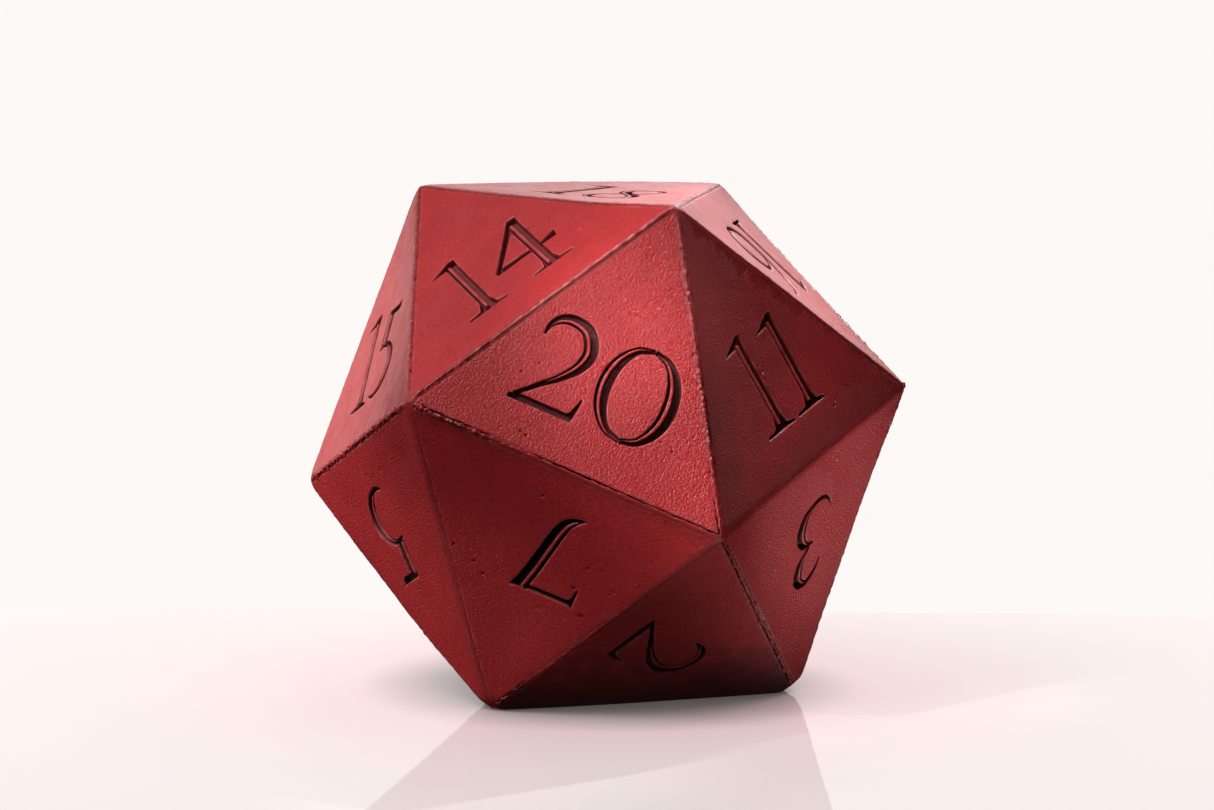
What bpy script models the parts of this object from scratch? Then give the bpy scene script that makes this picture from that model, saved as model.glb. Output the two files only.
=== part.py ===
"""A large soft twenty-sided die: engraved rubber panels glued round a foam core.

The die stands on its number 4 with the origin at the middle of that face. +Z is up
and -Y is the side of the corner that the 20, 11, 7, 2 and 3 share.
"""

import math

import bmesh
import bpy
from mathutils import Matrix, Vector

# Driving dimensions, in metres.
EDGE = 0.053  # one edge of the die, corner to corner
PANEL_THICKNESS = 0.004
GLUE_GAP = 0.0003  # film of glue in each joint and under each panel
NOTCH = 0.0012  # chamfer round each panel, which leaves a groove for the bead
BEAD_RADIUS = 0.0004
BEAD_CLEARANCE = 0.0002  # between a bead and the two chamfers beside it
BEAD_END = 0.0022  # each bead stops this far from the corners of the die
NUMERAL_HEIGHT = 0.305 * EDGE
NUMERAL_BASELINE = 0.135 * EDGE  # above the lower edge of the face
NUMERAL_SPACING = 0.06 * NUMERAL_HEIGHT  # between the two figures of a number
CUT_DEPTH = 0.0014  # of a figure's first stroke
CUT_STEP = 0.0001  # each further stroke of the figure is this much shallower
CUT_CLEARANCE = 0.0005  # how far a cutter stands above the face

# The regular icosahedron, standing on one face.
PHI = (1 + math.sqrt(5)) / 2
INRADIUS = EDGE * PHI**2 / (2 * math.sqrt(3))  # from the centre to each face
MITRE = math.acos(-math.sqrt(5) / 3) / 2  # half the angle between two faces
FACE_RADIUS = EDGE / math.sqrt(3)
WAIST_RADIUS = FACE_RADIUS * PHI
WAIST_LEVEL = INRADIUS / PHI**3

# Each corner's distance from the axis, height from the centre and bearing from -Y, in degrees.
CORNERS = {
    "A": (FACE_RADIUS, INRADIUS, -120),
    "B": (FACE_RADIUS, INRADIUS, 120),
    "C": (FACE_RADIUS, INRADIUS, 0),
    "D": (WAIST_RADIUS, WAIST_LEVEL, -60),
    "F": (WAIST_RADIUS, WAIST_LEVEL, 60),
    "K": (WAIST_RADIUS, WAIST_LEVEL, 180),
    "E": (WAIST_RADIUS, -WAIST_LEVEL, 0),
    "G": (WAIST_RADIUS, -WAIST_LEVEL, -120),
    "L": (WAIST_RADIUS, -WAIST_LEVEL, 120),
    "H": (FACE_RADIUS, -INRADIUS, -60),
    "I": (FACE_RADIUS, -INRADIUS, 60),
    "J": (FACE_RADIUS, -INRADIUS, 180),
}

# Each number's face, as the corners above, left below and right below the upright figures.
FACES = {
    1: "JKL", 2: "IEH", 3: "IFE", 4: "JIH", 5: "HDG",
    6: "ILF", 7: "HED", 8: "GJH", 9: "LIJ", 10: "KJG",
    11: "CEF", 12: "BFL", 13: "KBL", 14: "ADC", 15: "AGD",
    16: "FBC", 17: "GAK", 18: "BAC", 19: "KAB", 20: "CDE",
}

# Numbers that sit off the middle of their face, right and up, as shares of the edge.
SHIFTS = {2: (0.012, -0.015), 3: (-0.032, 0.03), 5: (0.068, 0), 7: (-0.046, 0), 11: (0.019, 0)}


def arc(centre_x, centre_y, radius_x, radius_y, start, stop, widths):
    """Pen positions along an ellipse, one for each width, from start to stop degrees."""
    steps = len(widths) - 1
    angles = [math.radians(start + (stop - start) * i / steps) for i in range(steps + 1)]
    return [
        (centre_x + radius_x * math.cos(t), centre_y + radius_y * math.sin(t), width)
        for t, width in zip(angles, widths)
    ]


# The figures, drawn with a broad pen. Units are the figures' height. A stroke is either a
# pen's path, as (x, y, width), or the outline of a serif or bar, as (x, y).
FIGURE_WIDTHS = (0.81, 0.465, 0.69, 0.60, 0.755, 0.565, 0.67, 0.665, 0.62, 0.67)
SIX = [
    [
        (0.55, 0.955, 0.015), (0.40, 0.965, 0.03), (0.25, 0.905, 0.06), (0.13, 0.77, 0.10),
        (0.075, 0.58, 0.13), (0.068, 0.38, 0.14), (0.10, 0.20, 0.12), (0.19, 0.08, 0.08),
        (0.335, 0.03, 0.055),
    ],
    arc(0.335, 0.315, 0.265, 0.285, 150, -90,
        (0.03, 0.04, 0.05, 0.09, 0.13, 0.14, 0.12, 0.08, 0.055)),
]
FIGURES = (
    [
        arc(0.405, 0.5, 0.333, 0.472, 90, 270, (0.05, 0.08, 0.125, 0.145, 0.125, 0.08, 0.055)),
        arc(0.405, 0.5, 0.333, 0.472, 90, -90, (0.05, 0.085, 0.135, 0.155, 0.135, 0.085, 0.055)),
    ],
    [
        [(0.262, 0.99, 0.13), (0.262, 0.02, 0.13)],
        [(0, 0.893), (0.27, 1.02), (0.337, 1.02), (0.325, 0.90), (0.2, 0.915)],
        [
            (0, 0), (0.005, 0.025), (0.15, 0.045), (0.192, 0.15),
            (0.332, 0.15), (0.36, 0.045), (0.46, 0.022), (0.465, 0),
        ],
    ],
    [
        [
            (0.10, 0.71, 0.02), (0.125, 0.815, 0.055), (0.198, 0.90, 0.09), (0.325, 0.938, 0.115),
            (0.49, 0.887, 0.135), (0.58, 0.715, 0.145), (0.535, 0.535, 0.115), (0.40, 0.367, 0.075),
            (0.24, 0.225, 0.05), (0.05, 0.05, 0.045),
        ],
        [
            (0, 0), (0.65, 0.005), (0.662, 0.03), (0.69, 0.25), (0.675, 0.255),
            (0.62, 0.10), (0.59, 0.075), (0.12, 0.075), (0, 0.045),
        ],
    ],
    [
        [
            (0.14, 0.765, 0.03), (0.215, 0.86, 0.05), (0.31, 0.92, 0.055), (0.42, 0.937, 0.075),
            (0.515, 0.87, 0.105), (0.54, 0.77, 0.115), (0.49, 0.64, 0.085), (0.36, 0.52, 0.035),
        ],
        [
            (0.285, 0.49, 0.03), (0.40, 0.485, 0.055), (0.495, 0.41, 0.10), (0.535, 0.28, 0.125),
            (0.48, 0.14, 0.10), (0.38, 0.062, 0.07), (0.26, 0.027, 0.055), (0.15, 0.04, 0.045),
            (0.06, 0.105, 0.035), (0.005, 0.19, 0.012),
        ],
    ],
    [
        [(0.495, 0.98, 0.135), (0.495, 0.02, 0.135)],
        [(0, 0.39), (0.475, 1.02), (0.57, 1.01), (0.558, 0.88), (0.44, 0.84), (0.085, 0.41)],
        [(0.005, 0.385), (0.02, 0.355), (0.735, 0.365), (0.755, 0.46), (0.56, 0.415), (0.06, 0.425)],
        [
            (0.26, 0), (0.265, 0.02), (0.40, 0.04), (0.424, 0.13),
            (0.568, 0.13), (0.59, 0.04), (0.74, 0.022), (0.75, 0),
        ],
    ],
    [
        [(0.18, 0.92, 0.11), (0.122, 0.575, 0.13)],
        [
            (0.04, 0.55, 0.03), (0.17, 0.572, 0.05), (0.305, 0.55, 0.065), (0.415, 0.485, 0.10),
            (0.48, 0.395, 0.13), (0.4925, 0.30, 0.145), (0.46, 0.19, 0.125), (0.37, 0.10, 0.095),
            (0.26, 0.045, 0.06), (0.15, 0.028, 0.045), (0.01, 0.058, 0.015),
        ],
        [(0.11, 0.945), (0.118, 0.893), (0.49, 0.89), (0.53, 0.96), (0.50, 0.945)],
    ],
    SIX,
    [
        [
            (0.565, 0.93, 0.145), (0.488, 0.70, 0.145), (0.402, 0.40, 0.14), (0.339, 0.20, 0.132),
            (0.285, 0.095, 0.105), (0.20, 0.025, 0.06), (0.12, -0.01, 0.012),
        ],
        [
            (0, 0.735), (0.018, 0.945), (0.06, 0.925), (0.46, 0.935), (0.665, 0.958),
            (0.625, 0.865), (0.46, 0.885), (0.08, 0.872), (0.045, 0.84), (0.018, 0.735),
        ],
    ],
    [
        [
            (0.33, 0.972, 0.045), (0.20, 0.91, 0.08), (0.14, 0.78, 0.115), (0.20, 0.64, 0.13),
            (0.34, 0.525, 0.13), (0.48, 0.40, 0.14), (0.54, 0.25, 0.13), (0.48, 0.09, 0.085),
            (0.32, 0.028, 0.05),
        ],
        [
            (0.33, 0.972, 0.045), (0.455, 0.92, 0.07), (0.51, 0.80, 0.085), (0.44, 0.65, 0.06),
            (0.30, 0.53, 0.045), (0.14, 0.40, 0.07), (0.075, 0.25, 0.11), (0.14, 0.10, 0.09),
            (0.32, 0.028, 0.05),
        ],
    ],
    [[(0.67 - x, 0.985 - y, width) for x, y, width in reversed(stroke)] for stroke in SIX],
)
CURVE_STEPS = 2  # straight pieces between two pen positions


def new_collection(name):
    collection = bpy.data.collections.new(name)
    bpy.context.scene.collection.children.link(collection)
    return collection


def new_material(name, colour, roughness):
    """A non-metallic material, with its colour as linear red, green and blue."""
    material = bpy.data.materials.new(name)
    material.use_nodes = True
    shader = material.node_tree.nodes["Principled BSDF"]
    shader.inputs["Base Color"].default_value = (*colour, 1)
    shader.inputs["Roughness"].default_value = roughness
    shader.inputs["Metallic"].default_value = 0
    material.diffuse_color = (*colour, 1)
    return material


def mesh_from(bm, name):
    mesh = bpy.data.meshes.new(name)
    bm.to_mesh(mesh)
    bm.free()
    return mesh


def corner_points():
    """Each corner's place, with the die standing on z = 0."""
    points = {}
    for name, (radius, level, bearing) in CORNERS.items():
        turn = math.radians(bearing)
        across = radius * math.sin(turn)
        along = -radius * math.cos(turn)
        points[name] = Vector((across, along, level + INRADIUS))
    return points


def face_frame(above, left, right):
    """The frame at the middle of a face: +Z outwards and +Y to the corner above the figures."""
    middle = (above + left + right) / 3
    outwards = (left - above).cross(right - above).normalized()
    up = (above - middle).normalized()
    axes = Matrix((up.cross(outwards), up, outwards)).transposed().to_4x4()
    return Matrix.Translation(middle) @ axes


def edge_frame(start, stop, centre):
    """The frame at the middle of an edge: +Z outwards and +X along the edge."""
    middle = (start + stop) / 2
    outwards = (middle - centre).normalized()
    along = (stop - start).normalized()
    axes = Matrix((along, outwards.cross(along), outwards)).transposed().to_4x4()
    return Matrix.Translation(middle) @ axes


def panel_radius(depth):
    """The panel's corner distance at a depth below its outer face."""
    sharp = FACE_RADIUS * (INRADIUS - depth) / INRADIUS
    return sharp - GLUE_GAP / math.sin(MITRE)


def panel_mesh():
    """A triangular plate with mitred sides, its outer face in the plane z = 0."""
    bm = bmesh.new()
    bmesh.ops.create_cone(
        bm,
        cap_ends=True,
        segments=3,
        radius1=panel_radius(PANEL_THICKNESS),
        radius2=panel_radius(0),
        depth=PANEL_THICKNESS,
        matrix=Matrix.Translation((0, 0, -PANEL_THICKNESS / 2)),
    )
    weight = bm.edges.layers.float.new("bevel_weight_edge")
    for edge in bm.edges:
        if all(abs(vert.co.z) < GLUE_GAP for vert in edge.verts):
            edge[weight] = 1
    return mesh_from(bm, "panel")


def add_notch_chamfer(panel):
    bevel = panel.modifiers.new("notch", "BEVEL")
    bevel.limit_method = "WEIGHT"
    bevel.width = NOTCH
    bevel.segments = 1


def smooth_path(knots):
    """The pen positions with more between them, along a Catmull-Rom curve."""
    if len(knots) == 2:
        return [Vector(knot) for knot in knots]
    points = [Vector(knot) for knot in knots]
    points = [2 * points[0] - points[1], *points, 2 * points[-1] - points[-2]]
    path = []
    for before, start, stop, after in zip(points, points[1:], points[2:], points[3:]):
        for i in range(CURVE_STEPS):
            t = i / CURVE_STEPS
            path.append(
                start
                + (stop - before) * t / 2
                + (2 * before - 5 * start + 4 * stop - after) * t**2 / 2
                + (3 * start - before - 3 * stop + after) * t**3 / 2
            )
    path.append(points[-2])
    return path


def stroke_outline(stroke):
    """A stroke's closed outline, in metres from the figure's lower left."""
    if len(stroke[0]) == 2:
        return [Vector(point) * NUMERAL_HEIGHT for point in stroke]
    path = smooth_path(stroke)
    left, right = [], []
    for i, knot in enumerate(path):
        before = path[max(i - 1, 0)].xy
        after = path[min(i + 1, len(path) - 1)].xy
        half = (after - before).normalized().orthogonal() * knot.z / 2
        left.append((knot.xy + half) * NUMERAL_HEIGHT)
        right.append((knot.xy - half) * NUMERAL_HEIGHT)
    return left + right[::-1]


def cutter_mesh(stroke, depth, name):
    """A prism on the stroke's outline, from just above the face to the depth below it."""
    curve = bpy.data.curves.new(name, "CURVE")
    curve.dimensions = "2D"
    curve.fill_mode = "BOTH"
    curve.extrude = (depth + CUT_CLEARANCE) / 2
    outline = stroke_outline(stroke)
    spline = curve.splines.new("POLY")
    spline.points.add(len(outline) - 1)
    for point, place in zip(spline.points, outline):
        point.co = (place.x, place.y, 0, 1)
    spline.use_cyclic_u = True
    guide = bpy.data.objects.new(name, curve)
    bpy.context.scene.collection.objects.link(guide)
    bpy.context.view_layer.update()
    graph = bpy.context.evaluated_depsgraph_get()
    mesh = bpy.data.meshes.new_from_object(guide.evaluated_get(graph))
    bpy.data.objects.remove(guide)
    bm = bmesh.new()
    bm.from_mesh(mesh)
    bmesh.ops.remove_doubles(bm, verts=bm.verts, dist=1e-6)
    bmesh.ops.translate(bm, verts=bm.verts, vec=(0, 0, (CUT_CLEARANCE - depth) / 2))
    bmesh.ops.recalc_face_normals(bm, faces=bm.faces)
    bm.to_mesh(mesh)
    bm.free()
    return mesh


def figure_cutters():
    """For each figure, the prisms that engrave its strokes."""
    return [
        [
            cutter_mesh(stroke, CUT_DEPTH - CUT_STEP * i, f"figure_{digit}_stroke_{i}")
            for i, stroke in enumerate(strokes)
        ]
        for digit, strokes in enumerate(FIGURES)
    ]


def engrave(panel, number, cutters, collection):
    """Cuts the number into the panel, which is already in its place."""
    digits = [int(digit) for digit in str(number)]
    widths = [FIGURE_WIDTHS[digit] * NUMERAL_HEIGHT for digit in digits]
    across, up = SHIFTS.get(number, (0, 0))
    left = across * EDGE - (sum(widths) + NUMERAL_SPACING * (len(digits) - 1)) / 2
    baseline = NUMERAL_BASELINE + up * EDGE - FACE_RADIUS / 2
    for place, (digit, width) in enumerate(zip(digits, widths)):
        for i, mesh in enumerate(cutters[digit]):
            cutter = bpy.data.objects.new(f"cut_{number}_{place}_{i}", mesh)
            cutter.matrix_world = panel.matrix_world @ Matrix.Translation((left, baseline, 0))
            cutter.display_type = "WIRE"
            cutter.hide_render = True
            collection.objects.link(cutter)
            boolean = panel.modifiers.new(cutter.name, "BOOLEAN")
            boolean.operation = "DIFFERENCE"
            boolean.solver = "EXACT"
            boolean.object = cutter
        left += width + NUMERAL_SPACING


def add_panels(corners, material, collection, cutter_collection):
    mesh = panel_mesh()
    mesh.materials.append(material)
    cutters = figure_cutters()
    for number, names in FACES.items():
        panel = bpy.data.objects.new(f"panel_{number}", mesh)
        panel.matrix_world = face_frame(*(corners[name] for name in names))
        collection.objects.link(panel)
        add_notch_chamfer(panel)
        engrave(panel, number, cutters, cutter_collection)


def add_core(material, collection):
    """The icosahedron that the panels are glued to."""
    core_inradius = INRADIUS - PANEL_THICKNESS - GLUE_GAP
    bm = bmesh.new()
    bmesh.ops.create_icosphere(
        bm, subdivisions=1, radius=core_inradius / INRADIUS * math.hypot(FACE_RADIUS, INRADIUS)
    )
    # The ball starts with a corner below, and one of the faces beside it looks along +X.
    lean = math.acos(INRADIUS / math.hypot(FACE_RADIUS, INRADIUS))
    onto_face = Matrix.Rotation(-math.pi / 2, 4, "Z") @ Matrix.Rotation(lean, 4, "Y")
    bmesh.ops.transform(bm, verts=bm.verts, matrix=onto_face)
    core = bpy.data.objects.new("foam_core", mesh_from(bm, "foam_core"))
    core.location.z = INRADIUS
    core.data.materials.append(material)
    collection.objects.link(core)


def bead_curve():
    """A straight rod of glue along +X, sunk in the groove below an edge."""
    slope = math.atan2(math.sin(MITRE), 1 - math.cos(MITRE))
    sunk = NOTCH - (BEAD_RADIUS + BEAD_CLEARANCE) / math.sin(slope)
    half_length = EDGE / 2 - BEAD_END
    curve = bpy.data.curves.new("bead", "CURVE")
    curve.dimensions = "3D"
    curve.bevel_depth = BEAD_RADIUS
    curve.bevel_resolution = 2
    curve.use_fill_caps = True
    spline = curve.splines.new("POLY")
    spline.points.add(1)
    for point, x in zip(spline.points, (-half_length, half_length)):
        point.co = (x, 0, -sunk, 1)
    return curve


def shared_edges():
    """Each pair of numbers whose faces share an edge, with that edge's two corners."""
    numbers = sorted(FACES)
    for i, low in enumerate(numbers):
        for high in numbers[i + 1:]:
            shared = sorted(set(FACES[low]) & set(FACES[high]))
            if len(shared) == 2:
                yield low, high, shared


def add_beads(corners, material, collection):
    curve = bead_curve()
    curve.materials.append(material)
    centre = Vector((0, 0, INRADIUS))
    for low, high, (start, stop) in shared_edges():
        bead = bpy.data.objects.new(f"seam_bead_{low}_{high}", curve)
        bead.matrix_world = edge_frame(corners[start], corners[stop], centre)
        collection.objects.link(bead)


def main():
    for obj in list(bpy.data.objects):
        bpy.data.objects.remove(obj)
    die = new_collection("twenty_sided_die")
    cutters = new_collection("cutters")
    corners = corner_points()
    rubber = new_material("red_rubber", (0.32, 0.022, 0.028), 0.5)
    foam = new_material("core_foam", (0.10, 0.012, 0.014), 0.9)
    glue = new_material("seam_glue", (0.14, 0.012, 0.015), 0.45)
    add_panels(corners, rubber, die, cutters)
    add_core(foam, die)
    add_beads(corners, glue, die)


main()
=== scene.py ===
"""The looks of the large soft twenty-sided die: its skinned rubber panels, the ragged
glue seams between them, a glossy white table and soft studio light.

Shapes are worked out in millimetres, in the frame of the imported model, and each mesh
is scaled to metres when it is made.
"""

import math
import random

import bpy
import numpy as np
from mathutils import Matrix, Vector, kdtree, noise
from mathutils.geometry import delaunay_2d_cdt


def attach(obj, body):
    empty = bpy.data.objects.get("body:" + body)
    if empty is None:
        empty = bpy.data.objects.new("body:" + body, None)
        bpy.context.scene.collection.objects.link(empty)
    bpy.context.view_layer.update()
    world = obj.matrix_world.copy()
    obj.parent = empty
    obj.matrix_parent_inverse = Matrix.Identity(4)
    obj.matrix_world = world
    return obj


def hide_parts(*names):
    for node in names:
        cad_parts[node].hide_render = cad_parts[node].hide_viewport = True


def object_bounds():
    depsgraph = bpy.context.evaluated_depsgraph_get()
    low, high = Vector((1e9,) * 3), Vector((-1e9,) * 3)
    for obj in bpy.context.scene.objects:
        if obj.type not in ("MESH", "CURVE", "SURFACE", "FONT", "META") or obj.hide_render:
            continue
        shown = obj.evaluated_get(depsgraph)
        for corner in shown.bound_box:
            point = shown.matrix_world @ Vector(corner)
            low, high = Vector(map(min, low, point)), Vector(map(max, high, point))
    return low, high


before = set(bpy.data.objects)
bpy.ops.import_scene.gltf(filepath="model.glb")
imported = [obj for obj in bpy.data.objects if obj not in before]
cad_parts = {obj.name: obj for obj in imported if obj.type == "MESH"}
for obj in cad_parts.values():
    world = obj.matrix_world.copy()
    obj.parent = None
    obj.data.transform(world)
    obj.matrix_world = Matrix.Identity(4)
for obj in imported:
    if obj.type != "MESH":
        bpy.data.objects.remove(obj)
cad_low, cad_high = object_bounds()

MM = 0.001

# ---- The die's shape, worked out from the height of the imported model.

PHI = (1 + math.sqrt(5)) / 2
INRADIUS = (cad_high.z - cad_low.z) / 2 / MM
EDGE = INRADIUS * 2 * math.sqrt(3) / PHI**2
MITRE = math.acos(-math.sqrt(5) / 3) / 2  # half the angle between two faces
FACE_SLOPE = math.pi / 2 - MITRE  # of a face from the plane that balances on its edge
FACE_RADIUS = EDGE / math.sqrt(3)
WAIST_RADIUS = FACE_RADIUS * PHI
WAIST_LEVEL = INRADIUS / PHI**3
CENTRE = np.array([0, 0, INRADIUS])
PANEL_THICKNESS = 4

# The corners in rings of three: distance from the axis, height from the centre, and each
# corner's bearing from -Y, in degrees.
RINGS = (
    (FACE_RADIUS, INRADIUS, {"A": -120, "B": 120, "C": 0}),
    (WAIST_RADIUS, WAIST_LEVEL, {"D": -60, "F": 60, "K": 180}),
    (WAIST_RADIUS, -WAIST_LEVEL, {"E": 0, "G": -120, "L": 120}),
    (FACE_RADIUS, -INRADIUS, {"H": -60, "I": 60, "J": 180}),
)
STANDING_CORNERS = "HIJ"

# Each number's face, as the corners above, left below and right below the upright figures.
FACES = {
    1: "JKL", 2: "IEH", 3: "IFE", 4: "JIH", 5: "HDG",
    6: "ILF", 7: "HED", 8: "GJH", 9: "LIJ", 10: "KJG",
    11: "CEF", 12: "BFL", 13: "KBL", 14: "ADC", 15: "AGD",
    16: "FBC", 17: "GAK", 18: "BAC", 19: "KAB", 20: "CDE",
}

# A hand-made foam die isn't quite regular: how far each corner is off, to the right as the
# camera sees it, and up.
CORNER_DRIFT = {
    "A": (-0.8, 1.6), "B": (-0.6, 1.4), "C": (-0.9, 0.6), "D": (0.3, 1.5),
    "E": (-0.5, 0.85), "F": (-1.1, 1.3), "G": (-0.2, 2.0), "H": (0.8, -0.15),
    "I": (1.0, -0.3), "J": (0.5, 0.0), "K": (-0.3, 1.2), "L": (0.0, 1.2),
}
CORNER_ALLOWANCE = 0.55  # further out at every corner, which its rounding takes off again

# How much is worn off each corner, and how softly the flat it leaves runs out.
CORNER_WEAR = {
    "A": 0.3, "B": 0.25, "C": 0.25, "D": 0.35, "E": 0.35, "F": 0.05,
    "G": 0.45, "H": 1.2, "I": 1.7, "J": 1.0, "K": 0.4, "L": 0.5,
}
WEAR_SOFTNESS = 0.28
WEAR_SHARE = 0.92  # how much of the skin above the flat goes

# How far an edge bows out at its middle, or in where it is below zero.
EDGE_BOW = {"AB": 0.3, "AC": -0.5, "DE": 0.2, "FI": -0.45, "GH": 0.4, "HI": 0.55, "BF": -0.35}

# Radius of the rounding along each edge.
EDGE_RADIUS = 1.45
EDGE_RADII = {"CD": 0.8, "CF": 1.8, "AC": 2.6, "CE": 1.5, "DH": 2.6, "DE": 1.3, "EF": 2.4, "HI": 1.6}

# Height, length and seed of the slow waves in a face's skin.
SKIN_WAVES = ((0.16, 17, 1), (0.035, 5.5, 2))
DISH_DEPTH = 0.12  # how far the skin sinks away from the edges, as it does when foam cures
DISH_REACH = (1.5, 9)

# ---- The camera's place, whose right the corners' drift goes by as well.

VIEW_AZIMUTH = -21.4
VIEW_ELEVATION = 6.3
VIEW_ROLL = 0.55
VIEW_DISTANCE = 12 * EDGE
VIEW_LENS = 114.7  # for Blender's sensor, 36 mm wide
VIEW_RISE = 0.099 * EDGE + 1.2  # the camera looks over the die's centre by this much


def view_axes():
    """The camera's right, up and back directions."""
    azimuth, elevation, roll = (math.radians(a) for a in (VIEW_AZIMUTH, VIEW_ELEVATION, VIEW_ROLL))
    level = np.array([math.cos(azimuth), math.sin(azimuth), 0])
    back = np.array([
        math.sin(azimuth) * math.cos(elevation),
        -math.cos(azimuth) * math.cos(elevation),
        math.sin(elevation),
    ])
    right = math.cos(roll) * level + math.sin(roll) * np.cross(back, level)
    return right, np.cross(back, right), back


# ---- The figures, drawn with a broad pen.
# Units are the figures' height. A stroke is either a pen's path, as (x, y, width), or the
# outline of a serif or bar, as (x, y).

NUMERAL_HEIGHT = 0.305 * EDGE
NUMERAL_BASELINE = 0.135 * EDGE  # above the lower edge of the face
NUMERAL_SPACING = 0.06 * NUMERAL_HEIGHT

# Numbers that sit off the middle of their face, right and up, as shares of the edge.
SHIFTS = {2: (0.012, -0.015), 3: (-0.032, 0.03), 5: (0.068, 0), 7: (-0.046, 0), 11: (0.019, 0)}


def arc(centre_x, centre_y, radius_x, radius_y, start, stop, widths):
    """Pen positions along an ellipse, one for each width, from start to stop degrees."""
    steps = len(widths) - 1
    angles = [math.radians(start + (stop - start) * i / steps) for i in range(steps + 1)]
    return [
        (centre_x + radius_x * math.cos(t), centre_y + radius_y * math.sin(t), width)
        for t, width in zip(angles, widths)
    ]


FIGURE_WIDTHS = (0.81, 0.465, 0.69, 0.60, 0.755, 0.565, 0.67, 0.665, 0.62, 0.67)
SIX = [
    [
        (0.55, 0.955, 0.015), (0.40, 0.965, 0.03), (0.25, 0.905, 0.06), (0.13, 0.77, 0.10),
        (0.075, 0.58, 0.13), (0.068, 0.38, 0.14), (0.10, 0.20, 0.12), (0.19, 0.08, 0.08),
        (0.335, 0.03, 0.055),
    ],
    arc(0.335, 0.315, 0.265, 0.285, 150, -90,
        (0.03, 0.04, 0.05, 0.09, 0.13, 0.14, 0.12, 0.08, 0.055)),
]
FIGURES = (
    [
        arc(0.405, 0.5, 0.333, 0.472, 90, 270, (0.05, 0.08, 0.125, 0.145, 0.125, 0.08, 0.055)),
        arc(0.405, 0.5, 0.333, 0.472, 90, -90, (0.05, 0.085, 0.135, 0.155, 0.135, 0.085, 0.055)),
    ],
    [
        [(0.262, 0.99, 0.13), (0.262, 0.02, 0.13)],
        [(0, 0.893), (0.27, 1.02), (0.337, 1.02), (0.325, 0.90), (0.2, 0.915)],
        [
            (0, 0), (0.005, 0.025), (0.15, 0.045), (0.192, 0.15),
            (0.332, 0.15), (0.36, 0.045), (0.46, 0.022), (0.465, 0),
        ],
    ],
    [
        [
            (0.10, 0.71, 0.02), (0.125, 0.815, 0.055), (0.198, 0.90, 0.09), (0.325, 0.938, 0.115),
            (0.49, 0.887, 0.135), (0.58, 0.715, 0.145), (0.535, 0.535, 0.115), (0.40, 0.367, 0.075),
            (0.24, 0.225, 0.05), (0.05, 0.05, 0.045),
        ],
        [
            (0, 0), (0.65, 0.005), (0.662, 0.03), (0.69, 0.25), (0.675, 0.255),
            (0.62, 0.10), (0.59, 0.075), (0.12, 0.075), (0, 0.045),
        ],
    ],
    [
        [
            (0.14, 0.765, 0.03), (0.215, 0.86, 0.05), (0.31, 0.92, 0.055), (0.42, 0.937, 0.075),
            (0.515, 0.87, 0.135), (0.54, 0.77, 0.155), (0.49, 0.64, 0.11), (0.36, 0.52, 0.04),
        ],
        [
            (0.285, 0.49, 0.03), (0.40, 0.485, 0.065), (0.495, 0.41, 0.13), (0.535, 0.28, 0.165),
            (0.48, 0.14, 0.13), (0.38, 0.062, 0.08), (0.26, 0.027, 0.055), (0.15, 0.04, 0.045),
            (0.06, 0.105, 0.035), (0.005, 0.19, 0.012),
        ],
    ],
    [
        [(0.495, 0.98, 0.135), (0.495, 0.02, 0.135)],
        [(0, 0.39), (0.475, 1.02), (0.57, 1.01), (0.558, 0.88), (0.44, 0.84), (0.085, 0.41)],
        [(0.005, 0.385), (0.02, 0.355), (0.735, 0.365), (0.755, 0.46), (0.56, 0.415), (0.06, 0.425)],
        [
            (0.26, 0), (0.265, 0.02), (0.40, 0.04), (0.424, 0.13),
            (0.568, 0.13), (0.59, 0.04), (0.74, 0.022), (0.75, 0),
        ],
    ],
    [
        [(0.195, 0.93, 0.18), (0.15, 0.575, 0.19)],
        [
            (0.04, 0.55, 0.03), (0.17, 0.572, 0.05), (0.305, 0.55, 0.065), (0.415, 0.485, 0.10),
            (0.48, 0.395, 0.16), (0.4925, 0.30, 0.18), (0.46, 0.19, 0.155), (0.37, 0.10, 0.115),
            (0.26, 0.045, 0.06), (0.15, 0.028, 0.045), (0.01, 0.058, 0.015),
        ],
        [(0.108, 0.955), (0.116, 0.89), (0.49, 0.887), (0.535, 0.97), (0.50, 0.957)],
    ],
    SIX,
    [
        [
            (0.565, 0.93, 0.145), (0.488, 0.70, 0.145), (0.402, 0.40, 0.14), (0.339, 0.20, 0.132),
            (0.285, 0.095, 0.105), (0.20, 0.025, 0.06), (0.12, -0.01, 0.012),
        ],
        [
            (0, 0.735), (0.018, 0.945), (0.06, 0.925), (0.46, 0.935), (0.665, 0.958),
            (0.625, 0.865), (0.46, 0.885), (0.08, 0.872), (0.045, 0.84), (0.018, 0.735),
        ],
    ],
    [
        [
            (0.33, 0.972, 0.045), (0.20, 0.91, 0.08), (0.14, 0.78, 0.115), (0.20, 0.64, 0.13),
            (0.34, 0.525, 0.13), (0.48, 0.40, 0.14), (0.54, 0.25, 0.13), (0.48, 0.09, 0.085),
            (0.32, 0.028, 0.05),
        ],
        [
            (0.33, 0.972, 0.045), (0.455, 0.92, 0.07), (0.51, 0.80, 0.085), (0.44, 0.65, 0.06),
            (0.30, 0.53, 0.045), (0.14, 0.40, 0.07), (0.075, 0.25, 0.11), (0.14, 0.10, 0.09),
            (0.32, 0.028, 0.05),
        ],
    ],
    [[(0.67 - x, 0.985 - y, width) for x, y, width in reversed(stroke)] for stroke in SIX],
)

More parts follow.
